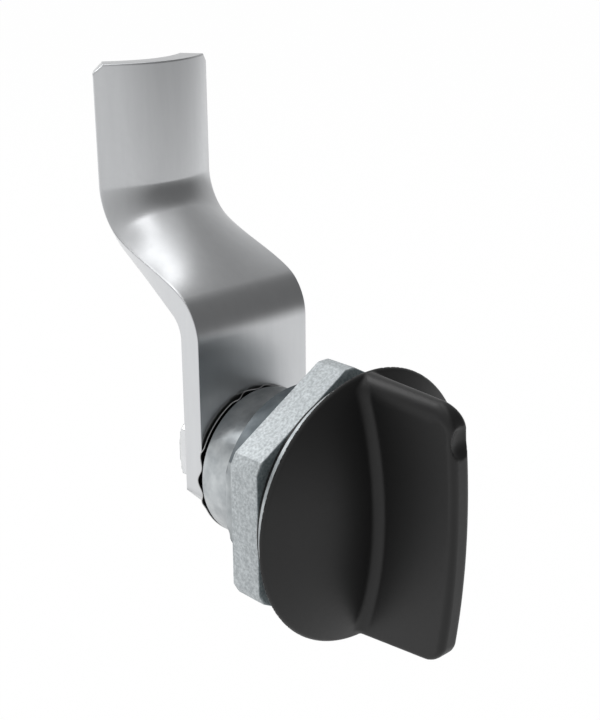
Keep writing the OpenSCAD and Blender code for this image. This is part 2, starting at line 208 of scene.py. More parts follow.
def knob_distance(p):
    """Distance of points to the knob's surface, negative inside.

    The disc is a ball's cap cut to a cylinder. The wing is a tapered slab cut to its outline,
    rounded less at the foot and more at the crest. The fillet between the two fades out
    towards the rim, and a ball is taken out for the dimple."""
    k = KNOB
    x, out, z = p[..., 0], -p[..., 1], p[..., 2]
    r = np.hypot(x, z)
    dome = np.hypot(r, out - (k["dome_front"] - k["dome_r"])) - k["dome_r"]
    disc = round_and(dome, r - k["disc_r"], k["edge_r"])
    disc = round_and(disc, k["back"] - out, k["back_edge_r"])
    taper = (k["root_half"] - k["front_half"]) / (k["front"] - k["back"])
    half = k["root_half"] - taper * (out - k["back"])
    slab = (np.abs(x) - half) / math.hypot(1, taper)
    front = np.hypot(out - (k["front"] - k["front_r"]), z - k["crown_z"]) - k["front_r"]
    top = line_side(out, z, k["root_top"], k["front_top"], k)
    low = line_side(out, -z, k["root_low"], k["front_low"], k)
    corner = k["top_corner_r"]
    outline = round_and(front, top, corner)
    outline = round_and(outline, low, k["low_corner_r"])
    up, ahead = np.maximum(top + corner, 0) ** 2, np.maximum(front + corner, 0) ** 2
    crest = up / (up + ahead + TINY) * (z > 0)
    down = np.maximum(low + corner, 0) ** 2
    edge = k["wing_edge_r"] + down / (down + ahead + TINY) * (z < 0) * (k["foot_edge_r"] - k["wing_edge_r"])
    across = edge + crest * (half - k["crest_flat"] - edge)
    deep = edge + crest * (k["crest_depth"] - edge)
    wing = across * (round_and(slab / across, outline / deep, 1.0))
    wing = np.maximum(wing, k["back"] + k["back_edge_r"] - out)
    inner = np.clip((k["disc_r"] - r) / k["rim_fade"], 0, 1)
    fillet = k["fillet_r"] * (k["rim_fillet"] + (1 - k["rim_fillet"]) * inner**2 * (3 - 2 * inner))
    body = np.maximum(round_or(disc, wing, fillet), r - k["disc_r"])
    ball_r = (k["dimple_r"] ** 2 + k["dimple_depth"] ** 2) / (2 * k["dimple_depth"])
    face = k["front"] - k["front_r"] + math.sqrt(k["front_r"] ** 2 - (k["dimple_z"] - k["crown_z"]) ** 2)
    ball_out = out - face + k["dimple_depth"] - ball_r
    ball = np.sqrt(x**2 + ball_out**2 + (z - k["dimple_z"]) ** 2) - ball_r
    return round_and(body, -ball, k["dimple_edge_r"])


def gradient(distance, p, step=1e-3):
    """Slope of a distance function at points, from central differences."""
    g = [distance(p + step * e) - distance(p - step * e) for e in np.eye(3)]
    return np.stack(g, -1) / (2 * step)


def implicit_piece(name, distance, axes, walks=6):
    """Mesh of an implicit solid on a lattice of cells, given by the lattice's three lists of planes.

    Each cell that the surface crosses gets one point, each lattice edge that it crosses
    joins the four cells round it into a quad, and the points then walk down the distance
    function's slope until they lie on the surface."""
    lattice = np.stack(np.meshgrid(*axes, indexing="ij"), -1)
    inside = distance(lattice) < 0
    n = [len(a) - 1 for a in axes]
    corners = sum(
        inside[i : n[0] + i, j : n[1] + j, l : n[2] + l].astype(int)
        for i in (0, 1) for j in (0, 1) for l in (0, 1)
    )
    crossed = (corners > 0) & (corners < 8)
    index = np.full(crossed.shape, -1)
    index[crossed] = np.arange(crossed.sum())
    cells = np.argwhere(crossed)
    points = np.stack([(a[:-1] + a[1:])[cells[:, i]] / 2 for i, a in enumerate(axes)], -1)
    reach = np.stack([np.diff(a)[cells[:, i]] for i, a in enumerate(axes)], -1)
    quads = []
    for axis in range(3):
        a, b = [x for x in range(3) if x != axis]
        start = np.take(inside, range(n[axis]), axis)
        end = np.take(inside, range(1, n[axis] + 1), axis)
        edge = np.argwhere(start != end)
        edge = edge[(edge[:, a] > 0) & (edge[:, b] > 0) & (edge[:, a] < n[a]) & (edge[:, b] < n[b])]
        ring = []
        for da, db in ((0, 0), (-1, 0), (-1, -1), (0, -1)):
            c = edge.copy()
            c[:, a] += da
            c[:, b] += db
            ring.append(index[c[:, 0], c[:, 1], c[:, 2]])
        ring = np.stack(ring, -1)
        flip = start[edge[:, 0], edge[:, 1], edge[:, 2]] ^ (axis == 1)
        quads.append(np.where(flip[:, None], ring, ring[:, ::-1]))
    for _ in range(walks):
        g = gradient(distance, points)
        step = distance(points)[:, None] * g / np.maximum((g**2).sum(-1, keepdims=True), TINY)
        points = points - np.clip(step, -reach, reach)
    g = gradient(distance, points)
    normals = g / np.linalg.norm(g, axis=-1, keepdims=True)
    return new_piece(name, points, outward(points, np.concatenate(quads)), normals)


def make_knob():
    """The knob's dome, wing, fillet, rounded edges and index dimple in one mesh."""
    past_side = KNOB["disc_r"] + LATTICE_MARGIN
    side = np.arange(-past_side, past_side + KNOB_CELL, KNOB_CELL)
    rim = KNOB["back"] + RIM_L
    depth = np.concatenate([
        np.arange(-KNOB["front"] - LATTICE_MARGIN, -rim, KNOB_CELL),
        np.arange(-rim, -KNOB["back"] + LATTICE_MARGIN, RIM_CELL),
    ])
    return implicit_piece("knob_moulding", knob_distance, (side, depth, side))


# Housing, nut and washers: profiles carried round the latch axis

# The stop recess: where its sector starts, how far it reaches round, its radius and its front
STOP_FROM_DEG = 59.0
STOP_SPAN_DEG = 152.0
STOP_R = 8.0
STOP_Y = 12.6

# The seat of the front bush's collar, sunk in the flange
COLLAR_SEAT_R = 8.52
COLLAR_SEAT_Y = -0.9

# The neck's flats cut only what lies further out than the barrel by this much
PILOT_GAP = 0.05


def housing_radius(r, y, a):
    """Radius of the housing at every angle.

    The neck's two flats limit it to flat / |cos a|. The stop recess widens the bore in its
    sector and keeps half of what the barrel's inner edge is rounded by."""
    r = np.broadcast_to(r, (r.shape[0], a.shape[1])).copy()
    y = np.broadcast_to(y, r.shape)
    a = np.broadcast_to(a, r.shape)
    on_neck = (y > NEAR) & (y < NECK_L + NEAR) & (r > PILOT_R + PILOT_GAP)
    flat = NECK_FLAT / np.maximum(np.abs(np.cos(a)), TINY)
    r = np.where(on_neck, np.minimum(r, flat), r)
    turn = np.mod(-np.degrees(a) - STOP_FROM_DEG, 360)
    recess = (turn < STOP_SPAN_DEG) & (y > STOP_Y) & (r < STOP_R) & (r > BORE_R - NEAR)
    return np.where(recess, STOP_R + (r - BORE_R) * 0.5, r)


def make_housing():
    """Flange, neck, barrel and bore as one profile of (radius, y, rounding) round the axis."""
    cut, fine_r = 0.5, 0.05
    profile = rounded_profile([
        (BORE_R, COLLAR_SEAT_Y, 0), (COLLAR_SEAT_R, COLLAR_SEAT_Y, 0), (COLLAR_SEAT_R, -FLANGE_T, 0.1),
        (FLANGE_R, -FLANGE_T, 0.12), (FLANGE_R, 0, 0.12), (NECK_R, 0, fine_r),
        (NECK_R, NECK_L - cut, fine_r), (NECK_R - cut, NECK_L, fine_r), (PILOT_R, NECK_L, 0.15),
        (PILOT_R, BARREL_L, 0.25), (BORE_R, BARREL_L, fine_r), (BORE_R, STOP_Y + NEAR, 0),
        (BORE_R, STOP_Y, 0),
    ])
    flat_edge = math.degrees(math.acos(NECK_FLAT / NECK_R))
    edges = [flat_edge, -flat_edge, 180 - flat_edge, 180 + flat_edge]
    stops = [-STOP_FROM_DEG - d for d in (-NEAR, NEAR, STOP_SPAN_DEG - NEAR, STOP_SPAN_DEG + NEAR)]
    angles = ring_angles(720, edges + stops)[None, :]
    r, y = profile[:, :1], profile[:, 1:]
    return ring_solid("housing_casting", housing_radius(r, y, angles), y, angles)


def hexagon(a, flat):
    """Radius of a hexagon with flats at 0, 60, ... degrees, at angle a.

    It is flat / cos of the turn from the nearest flat's middle."""
    turn = np.mod(a + np.pi / 6, np.pi / 3) - np.pi / 6
    return flat / np.cos(turn)


def make_nut():
    """Hexagon nut with turned corners, bevelled faces and a chamfered bore."""
    y0, y1 = 0.85, 5.05
    bevel, corner_bevel = 0.16, 0.36
    bore = NECK_R + 0.05
    mouth, chamfer_l = bore + 0.4, 0.5
    t = np.linspace(0, np.pi / 2, 6)
    inset, depth = 1 - np.sin(t), 1 - np.cos(t)
    inset, wall_y = np.concatenate([
        np.stack([inset, y0 + bevel * depth], -1),
        np.stack([inset[::-1], y1 - bevel * depth[::-1]], -1),
    ]).T
    corner = math.degrees(math.acos(NUT_FLAT / NUT_CORNER_R))
    angles = ring_angles(720, [60 * i + side * corner for i in range(6) for side in (1, -1)])
    wall = np.minimum(
        hexagon(angles, NUT_FLAT) - bevel * inset[:, None],
        NUT_CORNER_R - corner_bevel * inset[:, None],
    )
    face = np.linspace(0, 1, 4)[1:-1]
    rings = [(bore, y0 + chamfer_l), (mouth, y0)]
    rings += [(mouth + (wall[0] - mouth) * f, y0) for f in face]
    rings += list(zip(wall, wall_y))
    rings += [(mouth + (wall[-1] - mouth) * f, y1) for f in face[::-1]]
    rings += [(mouth, y1), (bore, y1 - chamfer_l)]
    return ring_solid("nut_casting", *stack_rings(rings, angles), angles)


def make_wave_washer():
    """Thin ring whose height swings with cos(18 a), faded out near the four diagonals."""
    outer, inner, sheet, edge_r = 9.0, 7.2, 0.12, 0.04
    waves, fade_start, fade_span = 18, 0.6, 0.15
    front_y = BARREL_L + 0.05
    swing = (CAM_Y - front_y - sheet) / 2
    angles = np.linspace(0, 2 * np.pi, 1440, endpoint=False)
    fade = np.clip((np.abs(np.cos(2 * angles)) - fade_start) / fade_span, 0, 1)
    height = (front_y + CAM_Y) / 2 + swing * fade * np.cos(waves * angles)
    section = rounded_profile([
        (inner, -sheet / 2, edge_r), (outer, -sheet / 2, edge_r),
        (outer, sheet / 2, edge_r), (inner, sheet / 2, edge_r),
    ], 2)
    y = section[:, 1:] + height[None, :]
    return ring_solid("wave_spring", np.broadcast_to(section[:, :1], y.shape), y, angles)


# Cam: a strip carried along its bent, bowed front line

# In order: where the lower bend starts, how far the crank goes back, where the tip ends, the
# slope from level, the two bends' radii along the front, how far short of upright the upper bend
# ends, the depth of the bow across the tip, the cuts of the tip's and the foot's corners, the
# rounding of the edges and the side of the square hole
CRANK_Z = 15.9
CRANK = 14.0
CAM_TOP = 45.0
SLOPE = math.radians(36.5)
LOW_BEND = 6.3
HIGH_BEND = 4.1
CREASE = math.radians(6)
BOW = 3.1
TIP_CUT = 1.0
FOOT_CUT = 5.85
CAM_EDGE = 0.12
SQUARE = 8.04

# The tip's first row lies this far past the upper bend; the bow's start is smoothed over this length
TIP_GAP = 0.1
BOW_BLEND_L = 2.5

# How much the rounded end rows narrow for each millimetre that they reach out
END_NARROWING = 0.6


def cam_line():
    """Rows along the strip's front: (y, z, tilt from upright, share of the bow, half width)."""
    bend = math.pi / 2 - SLOPE
    rise = LOW_BEND * (1 - math.cos(bend)) + HIGH_BEND * (math.cos(CREASE) - math.cos(bend))
    run = (CRANK - rise) / math.cos(SLOPE)
    foot_low = -CAM_W / 2
    foot_z = np.concatenate([
        np.linspace(foot_low, foot_low + FOOT_CUT, 13)[:-1],
        np.linspace(foot_low + FOOT_CUT, CRANK_Z, 25),
    ])
    a = np.linspace(0, bend, 33)[1:]
    low = np.stack([CAM_Y + LOW_BEND * (1 - np.cos(a)), CRANK_Z + LOW_BEND * np.sin(a), a], -1)
    t = np.linspace(0, 1, 49)[1:]
    slope = np.stack([
        low[-1, 0] + t * run * math.cos(SLOPE),
        low[-1, 1] + t * run * math.sin(SLOPE),
        np.full_like(t, bend),
    ], -1)
    centre = slope[-1, :2] + HIGH_BEND * np.array([-math.cos(bend), math.sin(bend)])
    a = bend + (CREASE - bend) * np.linspace(0, 1, 33)[1:]
    high = np.stack([centre[0] + HIGH_BEND * np.cos(a), centre[1] - HIGH_BEND * np.sin(a), a], -1)
    top_z = np.concatenate([
        np.linspace(high[-1, 1] + TIP_GAP, CAM_TOP - TIP_CUT, 25),
        np.linspace(CAM_TOP - TIP_CUT, CAM_TOP, 5)[1:],
    ])
    rows = np.concatenate([
        np.stack([np.full_like(foot_z, CAM_Y), foot_z, np.zeros_like(foot_z)], -1),
        low, slope, high,
        np.stack([np.full_like(top_z, CAM_Y + CRANK), top_z, np.zeros_like(top_z)], -1),
    ])
    z = rows[:, 1]
    along = np.concatenate([[0], np.cumsum(np.hypot(*np.diff(rows[:, :2], axis=0).T))])
    start = along[len(foot_z) + len(low) - 1]
    fine = np.linspace(0, along[-1], 2001)
    u = np.clip((fine - start) / run, 0, 1)
    share = (u + u * u * (3 - 2 * u)) / 2
    window = int(BOW_BLEND_L / (fine[1] - fine[0])) | 1
    share = np.convolve(np.pad(share, window // 2, "edge"), np.ones(window) / window, "valid")
    share = np.interp(along, fine, share)
    half = np.minimum(CAM_W / 2, CAM_W / 2 - FOOT_CUT + (z - foot_low))
    half = np.where(z > CAM_TOP - TIP_CUT - TINY, CAM_W / 2 - (z - CAM_TOP + TIP_CUT), half)
    return np.column_stack([rows, share, half])


def cam_point(row, x, depth):
    """Points at distances x across and depths under the front.

    Each is the row's point, plus bow * share * (2 x / width)^2 along the tilted normal, plus
    the depth along the bowed surface's own normal."""
    y, z, tilt, share = (row[:, i][:, None] for i in range(4))
    u = 2 * x / CAM_W
    drop = BOW * share * u * u
    lean = np.arctan(4 * BOW * share * u / CAM_W)
    return np.stack([
        x - depth * np.sin(lean),
        y + drop * np.cos(tilt) + depth * np.cos(lean) * np.cos(tilt),
        z - drop * np.sin(tilt) - depth * np.cos(lean) * np.sin(tilt),
    ], -1)


def cam_section(half, inset):
    """Loops of (x, depth) round the strip with its edges rounded, for each row's half width and inset."""
    across = np.linspace(-1, 1, 65)
    arc = np.linspace(0, np.pi / 2, 5)
    front_x = across[None] * (half - CAM_EDGE)[:, None]
    side_x = (half - CAM_EDGE)[:, None] + CAM_EDGE * np.sin(arc)[None]
    side_d = CAM_EDGE * (1 - np.cos(arc))[None] + np.zeros_like(side_x)
    back_d = CAM_T - side_d
    x = np.concatenate([
        front_x, side_x[:, 1:], side_x[:, ::-1],
        front_x[:, ::-1][:, 1:], -side_x[:, 1:], -side_x[:, ::-1][:, :-1],
    ], 1)
    depth = np.concatenate([
        np.zeros_like(front_x), side_d[:, 1:], back_d[:, ::-1],
        np.full_like(front_x, CAM_T)[:, 1:], back_d[:, 1:], side_d[:, ::-1][:, :-1],
    ], 1)
    return x, np.clip(depth, inset[:, None], CAM_T - inset[:, None])


def make_cam():
    """The strip's section carried along its rows, with rounded ends and the square hole cut."""
    rows = cam_line()
    turn = np.linspace(0, np.pi / 2, 4)[1:]
    grow, shrink = CAM_EDGE * np.sin(turn), CAM_EDGE * (1 - np.cos(turn))
    foot, tip = rows[:1].repeat(len(turn), 0), rows[-1:].repeat(len(turn), 0)
    start, end = rows[0, 1] + CAM_EDGE, rows[-1, 1] - CAM_EDGE
    rows[0, 1], rows[-1, 1] = start, end
    rows[[0, -1], 4] += CAM_EDGE
    foot[:, 1], tip[:, 1] = start - grow[::-1], end + grow
    foot[:, 4] = rows[0, 4] - grow[::-1] * END_NARROWING
    tip[:, 4] = rows[-1, 4] - grow * END_NARROWING
    inset = np.concatenate([shrink[::-1], np.zeros(len(rows)), shrink])
    rows = np.concatenate([foot, rows, tip])
    x, depth = cam_section(rows[:, 4], inset)
    piece = capped_tube("cam_strip", cam_point(rows, x, depth), np.array([0, 0, 1]))
    past = 1
    cut_square(piece, SQUARE / 2, CAM_Y - past, CAM_Y + CAM_T + past)
    return piece


def cut_square(piece, half, y0, y1):
    """Cuts a square hole along Y through a piece, with a Boolean modifier that is applied at once."""
    x, y, z = np.meshgrid([-half, half], [y0, y1], [-half, half], indexing="ij")
    points = np.stack([x, y, z], -1).reshape(-1, 3)
    faces = np.array([(0, 1, 3, 2), (4, 6, 7, 5), (0, 4, 5, 1), (2, 3, 7, 6), (0, 2, 6, 4), (1, 5, 7, 3)])
    cutter = new_piece("square_cutter", points, outward(points, faces))
    modifier = piece.modifiers.new("square_hole", "BOOLEAN")
    modifier.operation = "DIFFERENCE"
    modifier.solver = "EXACT"
    modifier.object = cutter
    bpy.context.view_layer.update()
    cut = bpy.data.meshes.new_from_object(piece.evaluated_get(bpy.context.evaluated_depsgraph_get()))
    piece.modifiers.clear()
    piece.data = cut
    bpy.data.objects.remove(cutter)


# Screw

# The crown's flat top: (inset from the crown's radius, drop under the top)
CROWN_TOP = ((0.05, 0.03), (0.12, 0.005), (0.2, 0), (0.4, 0), (1.5, 0), (3.0, 0))


def make_screw():
    """Hexagon head with a turned crown on a plain shank, closed at both ends on the axis."""
    y0 = CAM_Y + CAM_T + LOCK_T
    head_h, flat, shank_r, length = 4.0, 5.0, 3.0, 10.0
    tip_cut, seat_cut, seat_edge = 0.4, 0.35, 0.1
    crown_h, crown_over, crown_fall, crown_sag = 1.0, 0.5, 1.9, 0.06
    corner = flat * 2 / math.sqrt(3)
    crown_r = corner + crown_over - crown_fall
    angles = ring_angles(360, [30 + 60 * i for i in range(6)])

    def head(limit, inset=0.0):
        """Radius of the hexagon less an inset, and nowhere over a limit."""
        return np.minimum(hexagon(angles, flat) - inset, limit)

    rings = [
        (AXIS_R, y0 - length), (shank_r - tip_cut, y0 - length), (shank_r, y0 - length + tip_cut),
        (shank_r, y0), (head(corner - seat_cut, seat_edge), y0), (head(corner), y0 + seat_edge),
    ]
    for t in np.linspace(0, 1, 6):
        up = head_h - crown_h + t
        rings.append((head(corner + crown_over - t * crown_fall), y0 + up - crown_sag * t))
    for inset, drop in CROWN_TOP:
        rings.append((head(crown_r - inset, seat_edge), y0 + head_h - drop))
    rings.append((AXIS_R, y0 + head_h))
    reach, y = stack_rings(rings, angles)
    return capped_tube("hexagon_screw", ring_points(reach, y, angles), np.array([0, 1, 0]))


# Shader nodes

def math_node(nodes, link, operation, *values):
    """A Math node of sockets and numbers; gives its output socket."""
    node = nodes.new("ShaderNodeMath")
    node.operation = operation
    for i, value in enumerate(values):
        if isinstance(value, (int, float)):
            node.inputs[i].default_value = value
        else:
            link(value, node.inputs[i])
    return node.outputs[0]


def level_curve(nodes, link, value, bands):
    """Level of a value on a piecewise straight curve of (value, level) pairs, as a socket."""
    low, high = bands[0][0], bands[-1][0]
    top = max(level for _, level in bands)
    span = nodes.new("ShaderNodeMapRange")
    span.inputs["From Min"].default_value = low
    span.inputs["From Max"].default_value = high
    curve = nodes.new("ShaderNodeFloatCurve")
    points = curve.mapping.curves[0].points
    places = [((at - low) / (high - low), level / top) for at, level in bands]
    points[0].location, points[-1].location = places[0], places[-1]
    for place in places[1:-1]:
        points.new(*place)
    for point in points:
        point.handle_type = "VECTOR"
    curve.mapping.update()
    link(value, span.inputs["Value"])
    link(span.outputs["Result"], curve.inputs["Value"])
    return math_node(nodes, link, "MULTIPLY", curve.outputs[0], top)


def towards(nodes, link, vector, direction):
    """How far a vector reaches in a direction."""
    node = nodes.new("ShaderNodeVectorMath")
    node.operation = "DOT_PRODUCT"
    node.inputs[1].default_value = direction
    link(vector, node.inputs[0])
    return node.outputs["Value"]


def socket(group, name, kind, direction, value=None):
    """Adds a socket to a node group, with a default value where one is given."""
    item = group.interface.new_socket(name=name, in_out=direction, socket_type=kind)
    if value is not None:
        item.default_value = value


def grain_group():
    """Grain: noise in object space as a mask round 0.5."""
    group = bpy.data.node_groups.new("grain", "ShaderNodeTree")
    socket(group, "Size mm", "NodeSocketFloat", "INPUT", 0.2)
    socket(group, "Stretch", "NodeSocketVector", "INPUT", (1, 1, 1))
    socket(group, "Contrast", "NodeSocketFloat", "INPUT", 1.0)
    socket(group, "Mask", "NodeSocketFloat", "OUTPUT")
    n, link = group.nodes, group.links.new
    inp, out = n.new("NodeGroupInput"), n.new("NodeGroupOutput")
    place = n.new("ShaderNodeTexCoord")
    stretch = n.new("ShaderNodeVectorMath")
    stretch.operation = "MULTIPLY"
    noise = n.new("ShaderNodeTexNoise")
    noise.inputs["Detail"].default_value = 3.0
    noise.inputs["Roughness"].default_value = 0.6
    link(place.outputs["Object"], stretch.inputs[0])
    link(inp.outputs["Stretch"], stretch.inputs[1])
    link(stretch.outputs[0], noise.inputs["Vector"])
    link(math_node(n, link, "DIVIDE", 1 / MM, inp.outputs["Size mm"]), noise.inputs["Scale"])
    centred = math_node(n, link, "SUBTRACT", noise.outputs["Fac"], 0.5)
    mask = math_node(n, link, "MULTIPLY_ADD", centred, inp.outputs["Contrast"], 0.5)
    mask.node.use_clamp = True
    link(mask, out.inputs["Mask"])
    return group


GRAIN = grain_group()


class Finish:
    """A material under construction: a Principled shader and helpers that feed it."""

    def __init__(self, name, metallic, roughness, color, specular=0.5):
        self.material = bpy.data.materials.new(name)
        self.material.use_nodes = True
        self.nodes = self.material.node_tree.nodes
        self.link = self.material.node_tree.links.new
        self.shader = self.nodes["Principled BSDF"]
        self.shader.inputs["Metallic"].default_value = metallic
        self.shader.inputs["Roughness"].default_value = roughness
        self.shader.inputs["Base Color"].default_value = (*color, 1)
        self.shader.inputs["Specular IOR Level"].default_value = specular

    def math(self, operation, *values):
        """A Math node of sockets and numbers; gives its output socket."""
        return math_node(self.nodes, self.link, operation, *values)

    def grain(self, size, contrast=1.0, stretch=(1, 1, 1)):
        """Grain of a size in millimetres, drawn out along an axis whose stretch is under 1."""
        node = self.nodes.new("ShaderNodeGroup")
        node.node_tree = GRAIN
        node.inputs["Size mm"].default_value = size
        node.inputs["Contrast"].default_value = contrast
        node.inputs["Stretch"].default_value = stretch
        return node.outputs["Mask"]

    def coordinate(self, axis):
        """One coordinate of the surface in object space."""
        place, apart = self.nodes.new("ShaderNodeTexCoord"), self.nodes.new("ShaderNodeSeparateXYZ")
        self.link(place.outputs["Object"], apart.inputs[0])
        return apart.outputs[axis]

    def along(self, place, stops):
        """Level of a curve over a coordinate, whose stops are in millimetres."""
        return level_curve(self.nodes, self.link, self.math("DIVIDE", place, MM), stops)

    def shades(self, mask, dark, light):
        """Base colour between two shades."""
        mix = self.nodes.new("ShaderNodeMix")
        mix.data_type = "RGBA"
        mix.inputs["A"].default_value = (*dark, 1)
        mix.inputs["B"].default_value = (*light, 1)
        self.link(mask, mix.inputs["Factor"])
        self.link(mix.outputs["Result"], self.shader.inputs["Base Color"])
        return mix.outputs["Result"]

    def darken(self, colour, level, tint):
        """Multiplies a colour by a tint where the level is 1."""
        mix = self.nodes.new("ShaderNodeMix")
        mix.data_type = "RGBA"
        mix.blend_type = "MULTIPLY"
        mix.inputs["B"].default_value = (*tint, 1)
        self.link(level, mix.inputs["Factor"])
        self.link(colour, mix.inputs["A"])
        self.link(mix.outputs["Result"], self.shader.inputs["Base Color"])

    def rough(self, mask, low, high, more=None):
        """Roughness between two values, with a level added to it where one is given."""
        span = self.nodes.new("ShaderNodeMapRange")
        span.inputs["To Min"].default_value = low
        span.inputs["To Max"].default_value = high
        self.link(mask, span.inputs["Value"])
        value = span.outputs["Result"]
        if more is not None:
            value = self.math("ADD", value, more)
        self.link(value, self.shader.inputs["Roughness"])

    def bump(self, mask, depth_mm, strength):
        """Bump of a depth in millimetres from a mask."""
        node = self.nodes.new("ShaderNodeBump")
        node.inputs["Distance"].default_value = depth_mm * MM
        node.inputs["Strength"].default_value = strength
        self.link(mask, node.inputs["Height"])
        self.link(node.outputs["Normal"], self.shader.inputs["Normal"])


# Finishes: grain sizes and bump depths in millimetres, curves over a distance in millimetres

# Painted shade: the nut's front face, in the shade of the flange and the knob, is painted darker: (distance
# behind the flange, how dark)
NUT_SHADE = ((-1.0, 1.0), (0.87, 1.0), (0.95, 0.0), (6.0, 0.0))

# Painted shade on the neck, standing for the shade of its thread and of the nut beside it, and a little on
# the barrel beside the neck: (distance behind the flange, how much shade)
NECK_PAINTED_SHADE = (
    (-2.0, 0.0), (0.0, 0.0), (0.8, 1.0), (5.95, 1.0), (6.1, 0.85), (9.4, 0.8), (9.9, 0.5),
    (10.02, 0.17), (11.0, 0.15), (13.5, 0.0), (17.0, 0.0),
)

# The neck's two flats have no thread and get less of the painted shade: (distance from the middle plane,
# share of the painted shade)
NECK_SHADE_SHARE = ((0.0, 1.0), (9.9, 1.0), (9.98, 0.22), (15.0, 0.22))

# The flange and the neck are rougher than the barrel: (distance behind the flange, roughness added)
ROUGH_ALONG = ((-2.0, 0.24), (0.0, 0.24), (9.4, 0.2), (10.02, 0.0), (17.0, 0.0))

# Inside this radius the wave washer's faces are painted nearly black as shade; outwards from it the ring
# turns to its bright steel colour, fully at the second one
BRIGHT_EDGE = (8.9, 8.97)


def black_plastic():
    f = Finish("black_nylon", 0, 0.42, (0.0078, 0.0078, 0.008), 0.4)
    f.shades(f.grain(2.5, 1.2), (0.0071, 0.0071, 0.0073), (0.0085, 0.0085, 0.0087))
    f.rough(f.grain(0.5), 0.36, 0.48)
    f.bump(f.grain(0.12), 0.006, 0.35)
    return f.material


def nut_zinc():
    f = Finish("speckled_zinc", 0.6, 0.62, (0.5, 0.53, 0.55))
    speck = f.grain(0.31, 3.4)
    shaded = f.shades(speck, (0.385, 0.413, 0.428), (0.595, 0.63, 0.645))
    # Painted shade on the nut's front face
    f.darken(shaded, f.along(f.coordinate("Y"), NUT_SHADE), (0.55, 0.6, 0.61))
    f.rough(f.grain(0.9, 1.5), 0.55, 0.7)
    f.bump(speck, 0.02, 0.35)
    return f.material


def cast_zinc():
    f = Finish("cloudy_zinc", 1, 0.36, (0.55, 0.59, 0.61))
    cloud = f.grain(2.6, 3.0)
    clouded = f.shades(cloud, (0.36, 0.385, 0.4), (0.55, 0.575, 0.585))
    behind, aside = f.coordinate("Y"), f.math("ABSOLUTE", f.coordinate("X"))
    # Painted shade darkens the neck and, a little, the barrel beside it
    painted_shade = f.math("MULTIPLY", f.along(behind, NECK_PAINTED_SHADE), f.along(aside, NECK_SHADE_SHARE))
    f.darken(clouded, painted_shade, (0.15, 0.178, 0.198))
    f.rough(f.grain(1.6, 1.4), 0.3, 0.44, f.along(behind, ROUGH_ALONG))
    f.bump(cloud, 0.1, 0.2)
    return f.material


def satin_steel():
    f = Finish("satin_strip", 1, 0.3, (0.58, 0.59, 0.6))
    f.shades(f.grain(1.2, 1.3, (1.0, 1.0, 0.12)), (0.555, 0.565, 0.578), (0.605, 0.615, 0.627))
    f.rough(f.grain(0.6, 1.2), 0.26, 0.34)
    f.bump(f.grain(0.1, 1.0, (1, 1, 0.08)), 0.003, 0.3)
    return f.material


def plated_steel():
    f = Finish("plated_steel", 1, 0.22, (0.66, 0.67, 0.68))
    f.shades(f.grain(1.5, 1.5), (0.6, 0.61, 0.62), (0.7, 0.71, 0.72))
    f.rough(f.grain(0.4, 1.2), 0.18, 0.3)
    f.bump(f.grain(0.15), 0.003, 0.2)
    return f.material


def black_steel():
    f = Finish("phosphated_steel", 0, 0.5, (0.006, 0.006, 0.007), 0.3)
    f.shades(f.grain(0.4, 1.5), (0.004, 0.004, 0.005), (0.01, 0.01, 0.011))
    f.rough(f.grain(0.3), 0.4, 0.6)
    f.bump(f.grain(0.2), 0.01, 0.3)
    return f.material


def black_rubber():
    f = Finish("nitrile_rubber", 0, 0.6, (0.012, 0.012, 0.012), 0.35)
    f.shades(f.grain(0.8, 1.3), (0.009, 0.009, 0.009), (0.018, 0.018, 0.018))
    f.rough(f.grain(0.5), 0.5, 0.7)
    f.bump(f.grain(0.25), 0.01, 0.3)
    return f.material


def acetal():
    f = Finish("acetal", 0, 0.4, (0.72, 0.7, 0.63))
    f.shades(f.grain(1.5), (0.7, 0.68, 0.61), (0.76, 0.74, 0.67))
    f.rough(f.grain(0.4), 0.34, 0.46)
    f.bump(f.grain(0.3), 0.006, 0.2)
    return f.material


def spring_steel():
    """Painted shade: the ring's faces are painted nearly black for the gap's shade, and only its outer edge
    keeps a bright steel colour.
    """
    f = Finish("shaded_spring_steel", 1, 0.35, (0.06, 0.06, 0.065))
    place = f.nodes.new("ShaderNodeTexCoord")
    flat = f.nodes.new("ShaderNodeVectorMath")
    flat.operation = "MULTIPLY"
    flat.inputs[1].default_value = (1, 0, 1)
    far = f.nodes.new("ShaderNodeVectorMath")
    far.operation = "LENGTH"
    edge = f.nodes.new("ShaderNodeMapRange")
    edge.inputs["From Min"].default_value = BRIGHT_EDGE[0] * MM
    edge.inputs["From Max"].default_value = BRIGHT_EDGE[1] * MM
    f.link(place.outputs["Object"], flat.inputs[0])
    f.link(flat.outputs[0], far.inputs[0])
    f.link(far.outputs["Value"], edge.inputs["Value"])
    f.shades(edge.outputs["Result"], (0.03, 0.03, 0.033), (0.5, 0.5, 0.5))
    f.rough(f.grain(0.3, 1.2), 0.3, 0.42)
    f.bump(f.grain(0.15), 0.003, 0.2)
    return f.material


PLASTIC = black_plastic()
NUT_ZINC = nut_zinc()
CAST_ZINC = cast_zinc()
SATIN = satin_steel()
PLATED = plated_steel()
BLACK_STEEL = black_steel()
RUBBER = black_rubber()
ACETAL = acetal()
SPRING = spring_steel()


def dress(piece, material, slot, body, *nodes):
    """Gives a new piece its finish, its body and the CAD nodes that it stands for."""
    piece.data.materials.clear()
    piece.data.materials.append(material)
    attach(piece, body)
    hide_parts(*nodes)


dress(make_knob(), PLASTIC, "black_plastic", "latch_body", "wing_knob")
dress(make_housing(), CAST_ZINC, "zinc_cast", "housing_body", "housing")
dress(make_nut(), NUT_ZINC, "zinc_nut", "housing_body", "mounting_nut")
dress(make_wave_washer(), SPRING, "plated_steel", "latch_body", "wave_washer")
dress(make_cam(), SATIN, "satin_steel", "latch_body", "cam")
dress(make_screw(), PLATED, "plated_steel", "latch_body", "cam_screw")

